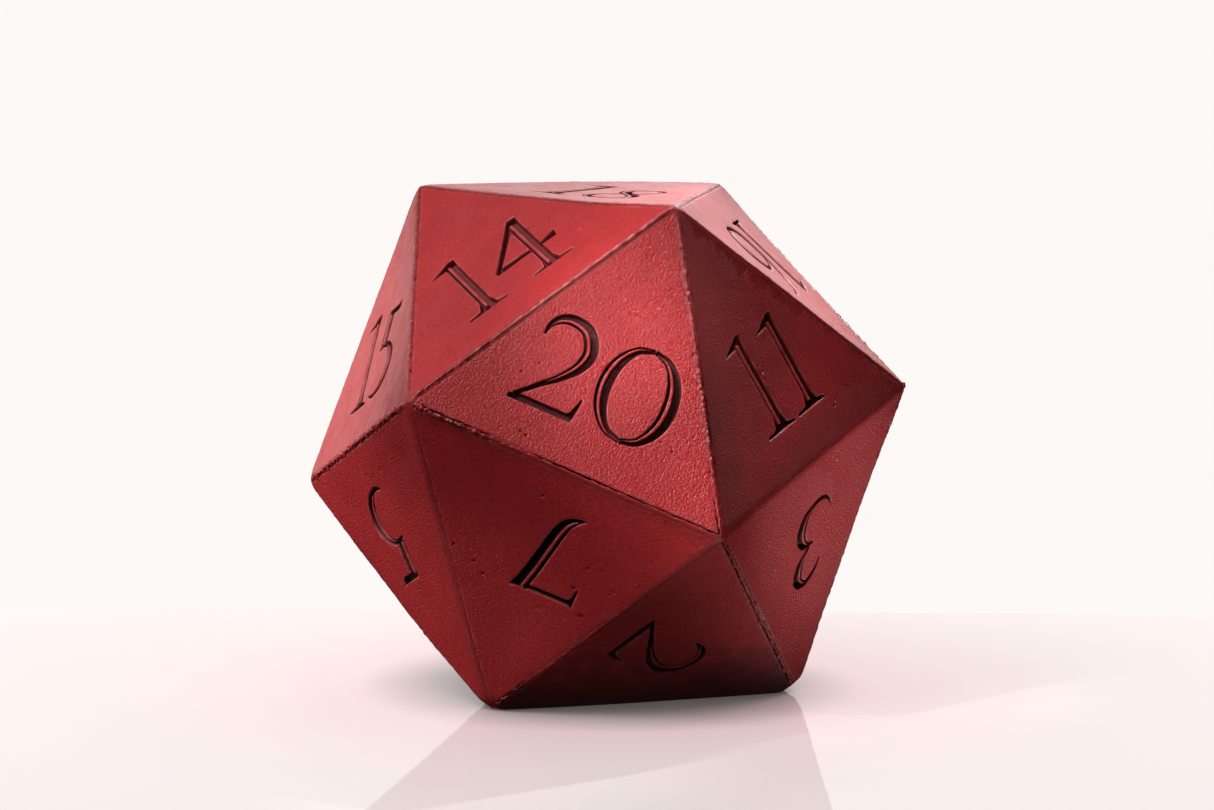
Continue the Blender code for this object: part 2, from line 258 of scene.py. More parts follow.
# Each broad stroke is cut as two grooves with a fine ridge left standing between them.
RIDGE_MIDDLE = 0.335  # share of the stroke's width, from its left side
RIDGE_HALF = 0.105
RIDGE_FADES = (0.05, 0.09)  # widths of the stroke between which the ridge grows to its full width
RIDGE_ENDS = (0.05, 0.955)  # shares of a straight stem that carry the ridge
RIDGE_LEAST = 0.08  # a ridge that has grown less than this is left out
STROKE_LINES = (0.115, RIDGE_MIDDLE, 0.5, 0.72)  # lines of points down a stroke, across its width
THINNEST_STROKE = 0.02

GROOVE_DEPTH = 1.15
GROOVE_WALL = 0.15  # how far the wall leans in from the rim
LIP_WIDTH = 0.24  # rounding outside the rim
LIP_DROP = 0.07
RIM_STEP = 0.14  # longest piece of a rim
RIM_PRECISION = (0, 0.25, 0.5, 0.75, 1)  # places on a piece of rim to which distance is measured

# ---- Small helpers.


def unit(vector):
    return vector / np.linalg.norm(vector)


def smooth(value, low, high):
    """0 below low, 1 above high, and a smooth step between."""
    t = np.clip((value - low) / (high - low), 0, 1)
    return t * t * (3 - 2 * t)


def noise_at(points, scale, seed):
    """Perlin noise at each point, with bumps about scale millimetres apart."""
    shift = Vector((seed * 17.3, seed * 5.1, seed * 9.7))
    return np.array([noise.noise(Vector(p) / scale + shift) for p in points])


def waves(values, length, seed):
    """Smooth noise along a line, from about -1 to 1."""
    return 1.6 * np.array([noise.noise(Vector((v / length, seed * 3.7, seed))) for v in values])


# ---- Faces.

RIGHT, UP, BACK = view_axes()

PLACES = {}
for radius, level, bearings in RINGS:
    for name, bearing in bearings.items():
        turn = math.radians(bearing)
        PLACES[name] = np.array([radius * math.sin(turn), -radius * math.cos(turn), level + INRADIUS])


def drifted(name):
    """How far a corner is off. The three that the die stands on aren't pushed down."""
    across, rise = CORNER_DRIFT[name]
    outwards = CORNER_ALLOWANCE * unit(PLACES[name] - CENTRE)
    if name in STANDING_CORNERS:
        outwards[2] = 0
    return np.array([across * RIGHT[0], across * RIGHT[1], rise]) + outwards


DRIFTS = {name: drifted(name) for name in PLACES}


def edge_key(a, b):
    return "".join(sorted((a, b)))


def blunted(spots, names):
    """The points with each named corner of the die worn down to a soft flat."""
    for name in names:
        corner = PLACES[name] + DRIFTS[name] - CENTRE
        axis = unit(corner)
        over = (spots - CENTRE) @ axis - np.linalg.norm(corner) + CORNER_WEAR[name]
        pushed = WEAR_SOFTNESS * np.log1p(np.exp(np.clip(over / WEAR_SOFTNESS, -30, 30)))
        spots = spots - np.outer(WEAR_SHARE * pushed, axis)
    return spots


def roll_drop(distance, radius):
    """How far a rounded edge lies below the flat face, at a distance from the sharp edge."""
    reach = radius * math.tan(FACE_SLOPE)
    within = np.clip(reach - distance, 0, None)
    return radius - np.sqrt(np.maximum(radius**2 - within**2, 0.01))


# A face's sides: the indexes of their two corners, and of the corner across from them.
SIDES = ((0, 1, 2), (1, 2, 0), (2, 0, 1))


class Face:
    """One face: its flat frame in x and y, and the way from there to the die's surface."""

    def __init__(self, number):
        self.number = number
        self.names = FACES[number]
        corners = np.array([PLACES[name] for name in self.names])
        self.middle = corners.mean(0)
        up = unit(corners[0] - self.middle)
        out = unit(np.cross(corners[1] - corners[0], corners[2] - corners[0]))
        self.axes = np.array([np.cross(up, out), up, out])
        self.flat = (corners - self.middle) @ self.axes[:2].T
        self.drifts = np.array([DRIFTS[name] for name in self.names])
        self.to_shares = np.linalg.inv(np.vstack([self.flat.T, np.ones(3)]))

    def shares(self, points):
        """Each point's barycentric coordinates."""
        return np.hstack([points, np.ones((len(points), 1))]) @ self.to_shares.T

    def side_frame(self, i, j):
        """Where the side between two corners starts, and its directions along and inwards."""
        along = unit(self.flat[j] - self.flat[i])
        inwards = np.array([-along[1], along[0]])
        return self.flat[i], along, inwards if (j - i) % 3 == 1 else -inwards

    def distances(self, points):
        """Each point's distance from the face's three sides, in the order of SIDES."""
        height = EDGE * math.sqrt(3) / 2
        shares = self.shares(points)
        return np.stack([shares[:, across] * height for _, _, across in SIDES], axis=1)

    def base_height(self, points):
        """The height of the uncut skin above the flat face."""
        ideal = self.middle + points @ self.axes[:2]
        height = sum(rise * noise_at(ideal, length, seed) for rise, length, seed in SKIN_WAVES)
        distances = self.distances(points)
        for (i, j, _), distance in zip(SIDES, distances.T):
            key = edge_key(self.names[i], self.names[j])
            height -= roll_drop(distance, EDGE_RADII.get(key, EDGE_RADIUS))
        return height - DISH_DEPTH * smooth(distances.min(1), *DISH_REACH)

    def place(self, points, heights):
        """The points of the face, at heights above it, on the die."""
        shares = self.shares(points)
        spots = self.middle + points @ self.axes[:2] + np.outer(heights, self.axes[2])
        spots += shares @ self.drifts
        for i, j, _ in SIDES:
            bow = EDGE_BOW.get(edge_key(self.names[i], self.names[j]), 0)
            if bow:
                outwards = unit((PLACES[self.names[i]] + PLACES[self.names[j]]) / 2 - CENTRE)
                amount = 4 * bow * np.clip(shares[:, i], 0, 1) * np.clip(shares[:, j], 0, 1)
                spots += np.outer(amount, outwards)
        return blunted(spots, self.names)


ALL_FACES = {number: Face(number) for number in FACES}

# ---- Engraved figures.


def pen_path(knots):
    """The pen's positions along a smooth curve, about RIM_STEP apart, in millimetres."""
    points = [np.array(knot, float) for knot in knots]
    if len(points) == 2:
        steps = math.ceil(np.linalg.norm((points[1] - points[0])[:2]) * NUMERAL_HEIGHT / RIM_STEP)
        return np.linspace(points[0], points[1], steps + 1) * NUMERAL_HEIGHT
    points = [2 * points[0] - points[1], *points, 2 * points[-1] - points[-2]]
    path = []
    for before, start, stop, after in zip(points, points[1:], points[2:], points[3:]):
        steps = math.ceil(np.linalg.norm((stop - start)[:2]) * NUMERAL_HEIGHT / RIM_STEP)
        for i in range(steps):
            t = i / steps
            path.append(
                start
                + (stop - before) * t / 2
                + (2 * before - 5 * start + 4 * stop - after) * t**2 / 2
                + (3 * start - before - 3 * stop + after) * t**3 / 2
            )
    path.append(points[-2])
    return np.array(path) * NUMERAL_HEIGHT


def pen_line(path, share):
    """A line along a pen's path, at a share of its width from its left side."""
    along = np.gradient(path[:, :2], axis=0)
    along /= np.linalg.norm(along, axis=1)[:, None]
    across = np.stack([-along[:, 1], along[:, 0]], axis=1) * np.maximum(path[:, 2:3], THINNEST_STROKE)
    return path[:, :2] + across * (np.broadcast_to(share, len(path))[:, None] - 0.5)


def closed_line(points):
    """A closed outline with points no further than RIM_STEP apart."""
    line = []
    for start, stop in zip(points, np.roll(points, -1, axis=0)):
        steps = max(1, math.ceil(np.linalg.norm(stop - start) / RIM_STEP))
        line.extend(start + (stop - start) * i / steps for i in range(steps))
    return np.array(line)


def figure_parts(digit):
    """The figure's stroke outlines, its ridges' outlines and the lines down their middles."""
    outlines, ridges, middles = [], [], []
    for stroke in FIGURES[digit]:
        if len(stroke[0]) == 2:
            outlines.append(closed_line(np.array(stroke, float) * NUMERAL_HEIGHT))
            continue
        path = pen_path(stroke)
        outlines.append(closed_line(np.concatenate([pen_line(path, 0), pen_line(path, 1)[::-1]])))
        width = path[:, 2] / NUMERAL_HEIGHT
        growth = smooth(width, *RIDGE_FADES)
        if len(stroke) == 2:
            share = np.linspace(0, 1, len(path))
            growth = growth * ((share >= RIDGE_ENDS[0]) & (share <= RIDGE_ENDS[1]))
        half = RIDGE_HALF * growth
        low, high = pen_line(path, RIDGE_MIDDLE - half), pen_line(path, RIDGE_MIDDLE + half)
        grown = growth > RIDGE_LEAST
        for run in np.split(np.arange(len(path)), np.where(np.diff(grown.astype(int)))[0] + 1):
            if len(run) > 3 and grown[run[0]]:
                ridges.append(closed_line(np.concatenate([low[run], high[run][::-1]])))
        middles += [pen_line(path, share) for share in STROKE_LINES]
    return outlines, ridges, middles


def number_parts(number):
    """The parts of the figures of a number, in the face's flat frame."""
    digits = [int(digit) for digit in str(number)]
    widths = [FIGURE_WIDTHS[digit] * NUMERAL_HEIGHT for digit in digits]
    across, up = SHIFTS.get(number, (0, 0))
    left = across * EDGE - (sum(widths) + NUMERAL_SPACING * (len(digits) - 1)) / 2
    base = NUMERAL_BASELINE + up * EDGE - FACE_RADIUS / 2
    parts = ([], [], [])
    for digit, width in zip(digits, widths):
        for kept, found in zip(parts, figure_parts(digit)):
            kept.extend(line + (left, base) for line in found)
        left += width + NUMERAL_SPACING
    return parts


def inside(points, outline):
    """Whether each point lies in a closed outline, by counting the sides to its right."""
    found = np.zeros(len(points), bool)
    near = ((points > outline.min(0)) & (points < outline.max(0))).all(1)
    x, y = points[near, 0, None], points[near, 1, None]
    x0, y0 = outline.T
    x1, y1 = np.roll(outline, -1, axis=0).T
    rise = np.where(y1 == y0, 1e-9, y1 - y0)
    crossed = ((y0 > y) != (y1 > y)) & (x < x0 + (y - y0) * (x1 - x0) / rise)
    found[near] = crossed.sum(1) % 2 == 1
    return found


def in_groove(points, outlines, ridges):
    found = np.zeros(len(points), bool)
    for outline in outlines:
        found |= inside(points, outline)
    for ridge in ridges:
        found &= ~inside(points, ridge)
    return found


def triangulate(points, edges, output=0):
    """Points and triangles of a Delaunay mesh that keeps the edges given."""
    vectors = [Vector(point) for point in points]
    pairs = [tuple(edge) for edge in edges]
    made = delaunay_2d_cdt(vectors, pairs, [], output, 1e-4, False)
    return np.array([tuple(v) for v in made[0]]), np.array([tuple(f) for f in made[2]])


def groove_rims(outlines, ridges):
    """The line between groove and skin, as points, pairs of points, and normals into the groove."""
    points, edges = [], []
    for line in outlines + ridges:
        first = len(points)
        points.extend(line)
        edges.extend((first + i, first + (i + 1) % len(line)) for i in range(len(line)))
    points, triangles = triangulate(np.array(points), edges)
    cut = in_groove(points[triangles].mean(1), outlines, ridges)
    owners = {}
    for index, triangle in enumerate(triangles):
        for i in range(3):
            owners.setdefault(tuple(sorted((triangle[i], triangle[i - 1]))), []).append(index)
    rim, normals = [], []
    for (a, b), found in owners.items():
        flags = [cut[index] for index in found] + [False] * (2 - len(found))
        if flags[0] == flags[1]:
            continue
        groove = triangles[found[0] if flags[0] else found[1]].tolist()
        third = next(v for v in groove if v not in (a, b))
        along = points[b] - points[a]
        if np.linalg.norm(along) < 1e-5:
            continue
        normal = unit(np.array([-along[1], along[0]]))
        if (points[third] - points[a]) @ normal < 0:
            normal = -normal
        rim.append((a, b))
        normals.append(normal)
    return points, np.array(rim), np.array(normals)


class Engraving:
    """A number's groove: its rims, and how far any point is from them."""

    def __init__(self, number):
        self.outlines, self.ridges, self.middles = number_parts(number)
        self.points, self.rim, self.normals = groove_rims(self.outlines, self.ridges)
        starts, stops = self.points[self.rim[:, 0]], self.points[self.rim[:, 1]]
        dense = np.concatenate([starts + (stops - starts) * t for t in RIM_PRECISION])
        self.tree = kdtree.KDTree(len(dense))
        for index, point in enumerate(dense):
            self.tree.insert((point[0], point[1], 0), index)
        self.tree.balance()

    def carves(self, points):
        return in_groove(points, self.outlines, self.ridges)

    def distance(self, points):
        return np.array([self.tree.find((x, y, 0))[2] for x, y in points])

    def offsets(self, distance):
        """Points that run beside the rims, at a distance into the groove or, below zero, outside."""
        middles = self.points[self.rim].mean(1) + self.normals * distance
        ends = {}
        for (a, b), normal in zip(self.rim, self.normals):
            ends.setdefault(a, []).append(normal)
            ends.setdefault(b, []).append(normal)
        at_ends = [
            self.points[v] + unit(sum(found)) * distance
            for v, found in ends.items()
            if np.linalg.norm(sum(found)) > 0.5
        ]
        places = np.concatenate([middles, np.array(at_ends)])
        return places[self.distance(places) > 0.9 * abs(distance)]


# ---- Panels.

BORDER = 0.45  # where a panel's skin ends, from the sharp edge
BORDER_STEP = 0.25
BORDER_WAVES = ((1.1, 0.05), (5, 0.05))  # length and height of each
EDGE_ROWS = (0.1, 0.28, 0.6)  # rows of points beside the border
RIM_ROWS = (0.05, 0.11, 0.17, -0.07, -0.15, -0.26)  # and beside a rim, outside it below zero
SKIN_STEP = 0.5
FLOOR_STEP = 0.3
ROW_RISE = 0.866  # between the rows of a triangular grid, as a share of its step
GRID_NUDGE = 0.18
WALL_SHRINK = 1 - PANEL_THICKNESS * math.tan(FACE_SLOPE) / (FACE_RADIUS / 2)

# Pinholes in the skin: (right, up, radius) on the face, in millimetres.
PINHOLES = {
    7: [(-9.5, 7.5, 0.34), (-7.0, 3.4, 0.34), (-8.2, -0.9, 0.25), (12.6, 9.3, 0.32), (9.2, 6.0, 0.28),
        (7.4, 7.6, 0.23), (13.1, 4.8, 0.24), (2.0, -9.5, 0.23)],
    5: [(3.0, 9.0, 0.2), (-4.5, -9.5, 0.18)],
    2: [(-13.0, -9.0, 0.16), (8.5, 2.5, 0.15)],
    14: [(7.6, 3.5, 0.16)],
    20: [(-8.5, -12.4, 0.2), (-7.4, -12.7, 0.17), (14.3, -5.9, 0.16)],
    11: [(9.5, -10.2, 0.18), (10.2, -9.6, 0.15)],
}
STRAY_PINHOLES = 5  # more on every face, at random within these spans
STRAY_SPANS = ((-15, 15), (-12, 14), (0.09, 0.15))
PINHOLE_DEPTH = 0.35
PINHOLE_RINGS = (0.45, 0.8, 1.15)  # of points, as shares of its radius
RING_POINTS = 9

# Scratches: (from right, up, to right, up, depth), in millimetres.
SCRATCHES = {
    20: [(-12.2, -6.2, -9.8, -6.0, 0.10), (-17.0, -11.2, -2.0, -11.0, 0.035),
         (-4.0, -10.6, 6.5, -12.0, 0.04)],
    14: [(-6.0, 8.5, -4.6, 12.5, 0.05), (-8.5, -6.0, -8.9, -4.2, 0.06), (3.5, 12.0, 5.0, 13.4, 0.04)],
    11: [(13.5, -8.5, 15.2, -9.6, 0.05), (2.6, 5.0, 3.0, 6.2, 0.04)],
    2: [(-5.0, 9.0, -2.6, 8.8, 0.05), (4.0, 3.0, 7.0, 2.0, 0.05)],
}
SCRATCH_STEP = 0.15
SCRATCH_ROWS = (-0.16, -0.06, 0.06, 0.16)  # of points, from the scratch's middle
SCRATCH_HALF = 0.13
BURR = (0.5, 0.17, 0.05)  # beside a scratch: height as a share of its depth, place and width

# How strongly the leathery grain shows on each face that the camera sees, and on the rest.
GRAIN = {20: 1.1, 14: 0.22, 11: 0.4, 7: 0.6, 5: 0.6, 3: 0.6, 2: 0.7, 15: 0.35, 16: 0.15, 18: 0.25}
OTHER_GRAIN = 0.35
HIDDEN_GRAIN = 0.3  # on a panel's sides and back

# How dark the cuts are painted, grime and painted shade together, on the faces where they are less dark
# than the rest.
CUT_GRIME_AND_SHADE = {14: 0.72, 11: 0.75, 20: 0.9}

# Painted shade and some grime, along an edge or round a corner: how far it reaches in and how dark it is.
# The broad patches on 2 towards its lower edge, on 11, on 15 round D and on 7 below D–E, and the dark
# corners H and I by the table, are painted shade. The thin bands along the seams are partly grime in the
# joints and partly painted shade of the rounded edges.
GRIME_AND_PAINTED_SHADE = {
    15: (("AD", 1.3, 0.55), ("DG", 0.9, 0.6), ("D", 22.0, 0.4)),
    2: (("HI", 22.0, 0.96), ("HI", 11.0, 1.0), ("I", 9.0, 0.8), ("EI", 0.9, 0.5)),
    3: (("EI", 1.1, 0.45), ("I", 4.0, 0.6)),
    7: (("DE", 3.5, 0.35), ("H", 4.5, 0.85), ("EH", 0.8, 0.3), ("DH", 0.9, 0.5)),
    5: (("DG", 0.8, 0.6), ("H", 3.5, 0.85), ("DH", 2.2, 0.35), ("GH", 0.8, 0.4)),
    11: (("CE", 30.0, 0.55), ("EF", 12.0, 0.45), ("CE", 1.3, 0.5), ("EF", 1.5, 0.3), ("F", 2.5, 0.6)),
    20: (("CE", 0.6, 0.35), ("DE", 0.5, 0.35)),
    14: (("AD", 0.6, 0.4), ("CD", 0.5, 0.25)),
}


def border_line(face, rng):
    """The panel's outline in the flat frame, a little wavy along each side."""
    line = []
    for i, j, _ in SIDES:
        start, along, inwards = face.side_frame(i, j)
        reach = np.arange(BORDER * math.sqrt(3), EDGE - BORDER * math.sqrt(3) - 0.05, BORDER_STEP)
        fade = np.clip(np.minimum(reach - reach[0], reach[-1] - reach) / 2, 0, 1)
        wave = sum(rise * waves(reach, length, rng.random() * 50) for length, rise in BORDER_WAVES)
        line.extend(start + along * s + inwards * (BORDER + w) for s, w in zip(reach, fade * wave))
    return np.array(line)


def row_points(face, distance, step):
    """Points along the three sides of the face, at a distance in from them."""
    rows = []
    for i, j, _ in SIDES:
        start, along, inwards = face.side_frame(i, j)
        reach = np.arange(distance * math.sqrt(3), EDGE - distance * math.sqrt(3), step)
        rows.extend(start + along * s + inwards * distance for s in reach)
    return np.array(rows)


def grid_points(step, half, rng):
    """A triangular grid over a square, each point nudged at random."""
    rows = int(2 * half / (step * ROW_RISE)) + 1
    columns = int(2 * half / step) + 1
    return np.array([
        (
            -half + (column + 0.5 * (row % 2)) * step + rng.uniform(-GRID_NUDGE, GRID_NUDGE) * step,
            -half + row * step * ROW_RISE + rng.uniform(-GRID_NUDGE, GRID_NUDGE) * step,
        )
        for row in range(rows)
        for column in range(columns)
    ])


def face_pinholes(number, rng):
    strays = [tuple(rng.uniform(*span) for span in STRAY_SPANS) for _ in range(STRAY_PINHOLES)]
    return PINHOLES.get(number, []) + strays


def face_scratches(number):
    """Each scratch's start, stop and depth."""
    return [(np.array(line[:2]), np.array(line[2:4]), line[4]) for line in SCRATCHES.get(number, [])]


def segment_distance(points, start, stop):
    """Each point's distance from a line, and how far along it the nearest place is."""
    along = stop - start
    share = np.clip((points - start) @ along / (along @ along), 0, 1)
    return np.linalg.norm(points - start - share[:, None] * along, axis=1), share


def mark_points(pinholes, scratches):
    """Rows of points that follow each pinhole's bowl and each scratch."""
    rows = []
    for x, y, radius in pinholes:
        ring = [(x, y)]
        for share in PINHOLE_RINGS:
            turns = [2 * math.pi * (i + share) / RING_POINTS for i in range(RING_POINTS)]
            ring += [(x + radius * share * math.cos(t), y + radius * share * math.sin(t)) for t in turns]
        rows.append(np.array(ring))
    for start, stop, _ in scratches:
        along = unit(stop - start)
        side = np.array([-along[1], along[0]])
        steps = int(np.linalg.norm(stop - start) / SCRATCH_STEP) + 1
        rows += [np.linspace(start, stop, steps + 1) + side * offset for offset in SCRATCH_ROWS]
    return rows


def skin_mesh(face, cut, marks, rng):
    """A panel's outline, and the flat points and triangles of its skin."""
    border = border_line(face, rng)
    edges = [(i, (i + 1) % len(border)) for i in range(len(border))]
    edges += [tuple(pair + len(border)) for pair in cut.rim]
    free = [cut.offsets(distance) for distance in RIM_ROWS]
    free += [line[cut.distance(line) > 0.02] for line in cut.middles]
    grid = grid_points(FLOOR_STEP, EDGE / 3, rng)
    grid = grid[cut.carves(grid)]
    free.append(grid[cut.distance(grid) > 0.24])
    grid = grid_points(SKIN_STEP, EDGE * 0.6, rng)
    grid = grid[face.distances(grid).min(1) > BORDER + EDGE_ROWS[-1] + 0.25]
    grid = grid[~cut.carves(grid)]
    free.append(grid[cut.distance(grid) > 0.4])
    free += [row_points(face, BORDER + row, BORDER_STEP * (1 + i / 2)) for i, row in enumerate(EDGE_ROWS)]
    free = np.concatenate(free + marks)
    free = free[face.distances(free).min(1) > BORDER + 0.06]
    points, triangles = triangulate(np.concatenate([border, cut.points, free]), edges, 1)
    return border, points, triangles


def stain_distance(face, points, corners):
    """Each point's distance from the side between two corners, or from one corner."""
    if len(corners) == 1:
        return np.linalg.norm(points - face.flat[face.names.index(corners)], axis=1)
    side = [face.names[across] in corners for _, _, across in SIDES].index(False)
    return face.distances(points)[:, side]


def skin_relief(face, cut, pinholes, scratches, points):
    """At each point of a panel's skin: its height, how dark it is, and how pale, for wear and painted
    highlight.
    """
    spots = np.hstack([points, np.full((len(points), 1), face.number)])
    distance = cut.distance(points)
    carved = cut.carves(points)
    within = carved & (distance > 1e-4)
    height = face.base_height(points)
    # The groove: its wall curves down to a slightly uneven floor, below a rounded lip.
    share = np.clip(distance / GROOVE_WALL, 0, 1)
    floor = GROOVE_DEPTH + 0.05 * noise_at(spots, 0.8, 3)
    height -= np.where(within, LIP_DROP + (floor - LIP_DROP) * (1 - (1 - share) ** 2), 0)
    height -= np.where(within, 0, LIP_DROP * np.clip(1 - distance / LIP_WIDTH, 0, 1) ** 2)
    # The grooves are painted near black, darkest a little way in from the rim: painted shade in the recess,
    # with some grime.
    groove_grime_and_shade = 0.55 + 0.45 * smooth(distance, 0, 0.05)
    darkness = np.where(carved | (distance < 1e-4), groove_grime_and_shade, 0) * CUT_GRIME_AND_SHADE.get(face.number, 1)
    for x, y, radius in pinholes:
        away = np.linalg.norm(points - (x, y), axis=1) / radius
        height -= np.where(~within, PINHOLE_DEPTH * np.clip(1 - away**2, 0, 1), 0)
        # Each pinhole's bowl is painted dark: painted shade in the pit.
        darkness = np.maximum(darkness, 0.9 * smooth(1.1 - away, 0.1, 0.7))
    rise, place, width = BURR
    for start, stop, depth in scratches:
        away, share = segment_distance(points, start, stop)
        depth = depth * np.sqrt(np.clip(4 * share * (1 - share), 0, 1))
        height -= depth * np.clip(1 - (away / SCRATCH_HALF) ** 2, 0, 1)
        height += rise * depth * np.exp(-(((away - place) / width) ** 2))
    # Painted shade, with some grime along the joints: darker bands and patches, from the table above.
    for corners, width, strength in GRIME_AND_PAINTED_SHADE.get(face.number, ()):
        ragged = 1 + 0.35 * noise_at(spots, 2.5, 3)
        away = stain_distance(face, points, corners) / (width * ragged)
        darkness = np.maximum(darkness, strength * smooth(1 - away, 0, 1))
    # The skin turns down at the border, and is painted paler along its edges and groove lips: partly wear,
    # partly painted highlight where the rounded rims catch the light.
    side = face.distances(points).min(1)
    height -= 0.16 * np.clip(1 - (side - BORDER) / 0.22, 0, 1) ** 2
    lip_wear_and_highlight = np.where(within, 0, 0.5 * np.exp(-((distance / 0.16) ** 2)))
    edge_wear_and_highlight = 0.45 * np.exp(-(((side - BORDER) / 0.3) ** 2))
    patchy = 0.5 + 1.2 * noise_at(spots, 1.5, 2)
    return height, darkness, np.clip((lip_wear_and_highlight + edge_wear_and_highlight) * patchy, 0, 1)


def triangle_normals(vertices, triangles):
    first, second, third = (vertices[triangles[:, i]] for i in range(3))
    return np.cross(second - first, third - first)


def add_object(name, vertices, faces, material):
    """A mesh object, with its vertices given in millimetres."""
    mesh = bpy.data.meshes.new(name)
    mesh.from_pydata((np.array(vertices) * MM).tolist(), [], [list(map(int, face)) for face in faces])
    mesh.materials.append(material)
    made = bpy.data.objects.new(name, mesh)
    bpy.context.scene.collection.objects.link(made)
    return made


def add_piece(name, vertices, triangles, material, **attributes):
    """A smooth-shaded piece of the die, with numbers that its material reads at each vertex."""
    piece = add_object(name, vertices, triangles, material)
    for label, values in attributes.items():
        layer = piece.data.attributes.new(label, "FLOAT", "POINT")
        layer.data.foreach_set("value", np.asarray(values, np.float32))
    piece.data.shade_smooth()
    piece.data.update()
    return piece


def skin_grain(face, points):
    """How strong the grain is at each point. On the 20 it grows towards the upper right."""
    amount = np.full(len(points), GRAIN.get(face.number, OTHER_GRAIN))
    if face.number == 20:
        amount *= 0.5 + 0.5 * smooth(points[:, 1] + 0.35 * points[:, 0], -14, 22)
    return amount


def add_panel(number, material):
    rng = random.Random(number)
    face = ALL_FACES[number]
    cut = Engraving(number)
    pinholes = face_pinholes(number, rng)
    scratches = face_scratches(number)
    border, points, triangles = skin_mesh(face, cut, mark_points(pinholes, scratches), rng)
    height, darkness, worn = skin_relief(face, cut, pinholes, scratches, points)
    top = face.place(points, height)
    # Close the panel with its mitred sides and an underside.
    count = len(points)
    rim = np.arange(len(border))
    below = face.place(border * WALL_SHRINK, np.full(len(border), -float(PANEL_THICKNESS)))
    under = face.place(np.zeros((1, 2)), np.array([-float(PANEL_THICKNESS)]))
    vertices = np.concatenate([top, below, under])
    forward = np.roll(rim, -1)
    sides = np.concatenate([
        np.stack([rim, count + rim, forward], axis=1),
        np.stack([forward, count + rim, count + forward], axis=1),
        np.stack([count + rim, np.full(len(rim), count + len(rim)), count + forward], axis=1),
    ])
    if (triangle_normals(vertices, triangles) @ face.axes[2]).mean() < 0:
        triangles = triangles[:, ::-1]
    added = len(rim) + 1
    return add_piece(
        f"rubber_panel_{number}", vertices, np.concatenate([triangles, sides]), material,
        # The cut attribute carries the painted darkness: grooves, pinholes, grime and painted shade.
        cut=np.concatenate([darkness, np.ones(added)]),
        grain=np.concatenate([skin_grain(face, points), np.full(added, HIDDEN_GRAIN)]),
        worn=np.concatenate([worn, np.zeros(added)]),
    )


# ---- Seams.

# A seam's looks: height of its fin, how ragged the fin is, length of the rags, its open gap
# towards the lower and the higher number, how ragged the gap is, and how far its skin stands up.
LOOKS = {
    "fused": (0.03, 0.04, 1.2, -0.45, -0.45, 0.06, 0.02),
    "fine": (0.06, 0.06, 0.9, -0.2, -0.08, 0.2, 0.03),
    "crest": (0.55, 0.12, 1.4, -0.45, -0.45, 0.08, 0.03),
    "toothed": (0.25, 0.2, 0.5, -0.45, -0.4, 0.15, 0.03),
    "dashed": (0.24, 0.22, 1.5, -0.1, -0.3, 0.2, 0.03),
    "beaded": (0.16, 0.2, 0.6, 0.1, -0.25, 0.25, 0.05),
    "slit_high": (0.1, 0.06, 1.2, -0.35, 0.26, 0.1, 0.07),
    "torn": (0.2, 0.3, 0.8, -0.05, 0.18, 0.38, 0.12),
    "lumpy": (0.04, 0.24, 0.9, 0.16, 0.02, 0.42, 0.12),
    "pocket": (-0.15, 0.2, 0.7, 0.42, 0.2, 0.42, 0.08),
    "ridged": (0.16, 0.05, 2.0, -0.1, 0.06, 0.1, 0.05),
}

# Each seam's looks at places along it, as shares of its length from the first corner named.
SEAM_LOOKS = {
    "CD": ((0, "crest"), (0.3, "crest"), (0.55, "toothed"), (1, "toothed")),
    "AD": ((0, "fine"), (0.2, "dashed"), (0.8, "dashed"), (1, "fine")),
    "DE": ((0, "torn"), (0.22, "torn"), (0.32, "fine"), (0.5, "slit_high"), (0.97, "slit_high"),
           (1, "torn")),
    "CE": ((0, "fine"), (0.1, "beaded"), (0.7, "beaded"), (0.9, "fine"), (1, "slit_high")),
    "CF": ((0, "fine"), (0.1, "ridged"), (0.8, "ridged"), (1, "fused")),
    "BC": ((0, "fine"), (0.8, "fine"), (1, "fused")),
    "BF": ((0, "fine"), (0.3, "fine"), (0.36, "dashed"), (0.42, "fine"), (0.75, "dashed"), (1, "fused")),
    "EF": ((0, "fused"), (0.3, "fine"), (0.7, "fused"), (1, "fused")),
    "FI": ((0, "pocket"), (0.05, "pocket"), (0.09, "fine"), (1, "fine")),
    "AB": ((0, "fused"), (1, "fine")),
    "EI": ((0, "pocket"), (0.09, "pocket"), (0.13, "lumpy"), (0.5, "torn"), (0.62, "lumpy"),
           (0.7, "pocket"), (0.85, "lumpy"), (1, "lumpy")),
    "EH": ((0, "fused"), (0.5, "fine"), (0.8, "fine"), (0.85, "pocket"), (0.92, "pocket"), (1, "fine")),
    "DH": ((0, "fused"), (0.15, "fine"), (0.5, "fused"), (0.75, "fine"), (1, "fused")),
    "DG": ((0, "fused"), (0.1, "torn"), (0.9, "torn"), (1, "fine")),
    "AC": ((0, "fused"), (0.5, "fine"), (0.8, "fine"), (1, "fused")),
    "AG": ((0, "fused"), (1, "fused")),
    "GH": ((0, "fine"), (0.5, "fused"), (0.7, "fine"), (1, "fused")),
}
OTHER_LOOKS = ("fused", "fine", "dashed", "beaded", "fine", "lumpy", "toothed", "fine", "fused")
END_SPIKES = {"CF": ("F", 1.1, 0.8), "BF": ("F", 0.8, 0.7)}  # corner where flash sticks out, height, reach

COLUMN_STEP = 0.2
END_FADE = (0.2, 2.5)  # the seam's relief starts and is full this far from its ends
PROFILE = (0.15, 0.3, 0.45, 0.6, 0.75, 0.88, 0.96, 1.0)  # shares of the seam's half width
FIN_WIDTH = 0.19
